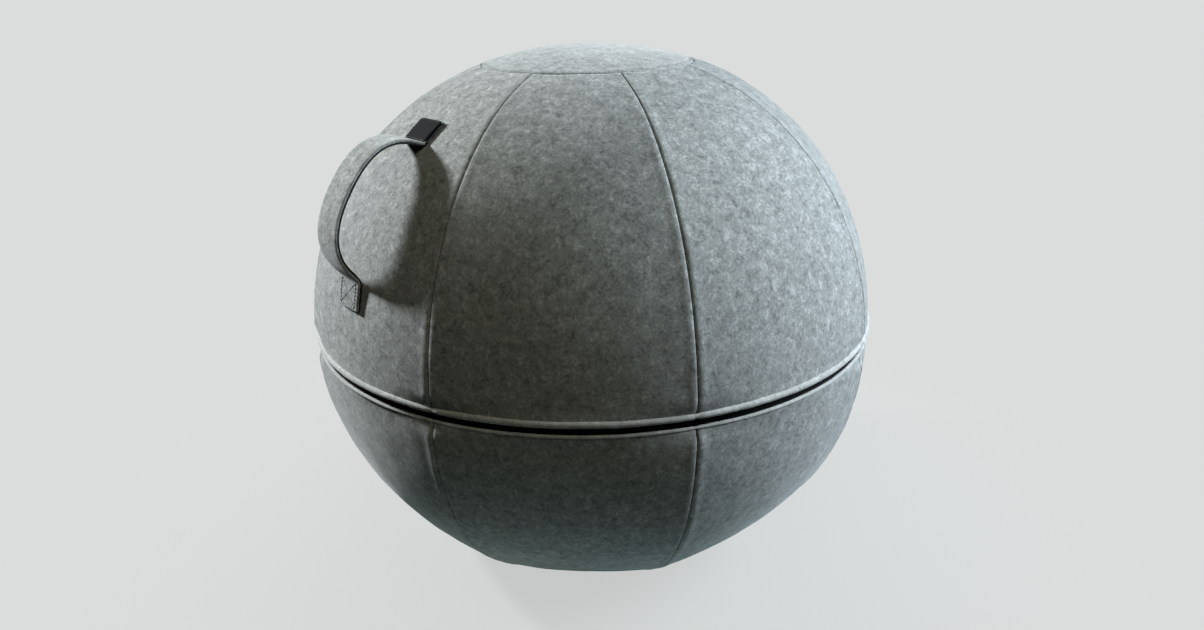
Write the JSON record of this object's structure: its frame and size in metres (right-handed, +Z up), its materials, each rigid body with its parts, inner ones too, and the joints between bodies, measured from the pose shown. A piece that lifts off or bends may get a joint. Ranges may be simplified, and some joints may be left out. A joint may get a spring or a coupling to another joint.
{
  "type": "balance ball chair",
  "caption": "Inflated sitting ball in a zipped grey felt cover with sewn gores, a flat base with a stabilising ring, and a felt carrying handle.",
  "frame": {"origin": "on the floor, on the ball's upright axis", "axes": "+Z up, -Y towards the handle, the cover hinges open at +Y"},
  "size_m": [0.658, 0.6599, 0.591],
  "materials": {
    "felt": "mottled grey wool felt, matt",
    "seam_thread": "sewing thread",
    "base_fabric": "dark woven fabric",
    "zip_tape": "black woven tape",
    "zip_coil": "black nylon coil",
    "zip_metal": "black enamel",
    "ball_skin": "smooth inflated film, satin",
    "valve_rubber": "moulded",
    "plug": "white moulded plug",
    "ring_core": "dense foam",
    "strap_lining": "dark webbing",
    "label_weave": "black woven label, blank",
    "strap_thread": "grey sewing thread"
  },
  "bodies": {
    "base_cover": {"lower_panel_1": "felt", "lower_panel_2": "felt", "lower_panel_3": "felt", "lower_panel_4": "felt", "lower_panel_5": "felt", "lower_panel_6": "felt", "lower_panel_7": "felt", "lower_panel_8": "felt", "base_disc": "base_fabric", "base_seam_thread": "seam_thread", "lower_seam_threads": "seam_thread", "lower_zip_tape": "zip_tape", "lower_zip_coil": "zip_coil", "zip_stops": "zip_metal", "hinge_bridge": "zip_tape", "ball": "ball_skin", "valve_seat": "valve_rubber", "base_ring_core": "ring_core", "base_ring_sleeve": "base_fabric"},
    "top_cover": {"upper_panel_1": "felt", "upper_panel_2": "felt", "upper_panel_3": "felt", "upper_panel_4": "felt", "upper_panel_5": "felt", "upper_panel_6": "felt", "upper_panel_7": "felt", "upper_panel_8": "felt", "top_disc": "felt", "disc_seam_thread": "seam_thread", "upper_seam_threads": "seam_thread", "upper_zip_tape": "zip_tape", "upper_zip_coil": "zip_coil", "handle_upper_end": "felt", "handle_lower_end": "felt", "lining_upper_end": "strap_lining", "lining_lower_end": "strap_lining", "label": "label_weave", "handle_stitching": "strap_thread"},
    "handle": {"handle_grip": "felt", "handle_lining": "strap_lining"},
    "slider": {"zip_slider": "zip_metal"},
    "pull": {"zip_pull": "zip_metal"},
    "plug": {"valve_plug": "plug"}
  },
  "joints": [
    {"name": "cover_open", "type": "hinge", "parent": "base_cover", "child": "top_cover", "pos_m": [0, 0.3335, 0.278], "axis": [-1, 0, 0], "range_deg": [0, 88], "deforming": ["hinge_bridge"]},
    {"name": "handle_swing", "type": "hinge", "parent": "top_cover", "child": "handle", "pos_m": [0, -0.26699, 0.4496], "axis": [0, -0.5497, -0.8354], "range_deg": [-40, 40], "stiffness_Nm_per_rad": 0.3, "deforming": ["handle_upper_end", "handle_lower_end", "lining_upper_end", "lining_lower_end"]},
    {"name": "zip_travel", "type": "hinge", "parent": "base_cover", "child": "slider", "pos_m": [0, 0, 0.278], "axis": [0, 0, -1], "range_deg": [0, 338.6]},
    {"name": "zip_pull", "type": "hinge", "parent": "slider", "child": "pull", "pos_m": [0.06079, 0.32171, 0.278], "axis": [0, 0, 1], "range_deg": [0, 150]},
    {"name": "valve_plug", "type": "slide", "parent": "base_cover", "child": "plug", "axis": [0, -0.9569, 0.2906], "range_m": [0, 0.025]}
  ],
  "couplings": [
    {"joint": "valve_plug", "follows": "cover_open", "m_per_rad": 0.016}
  ]
}
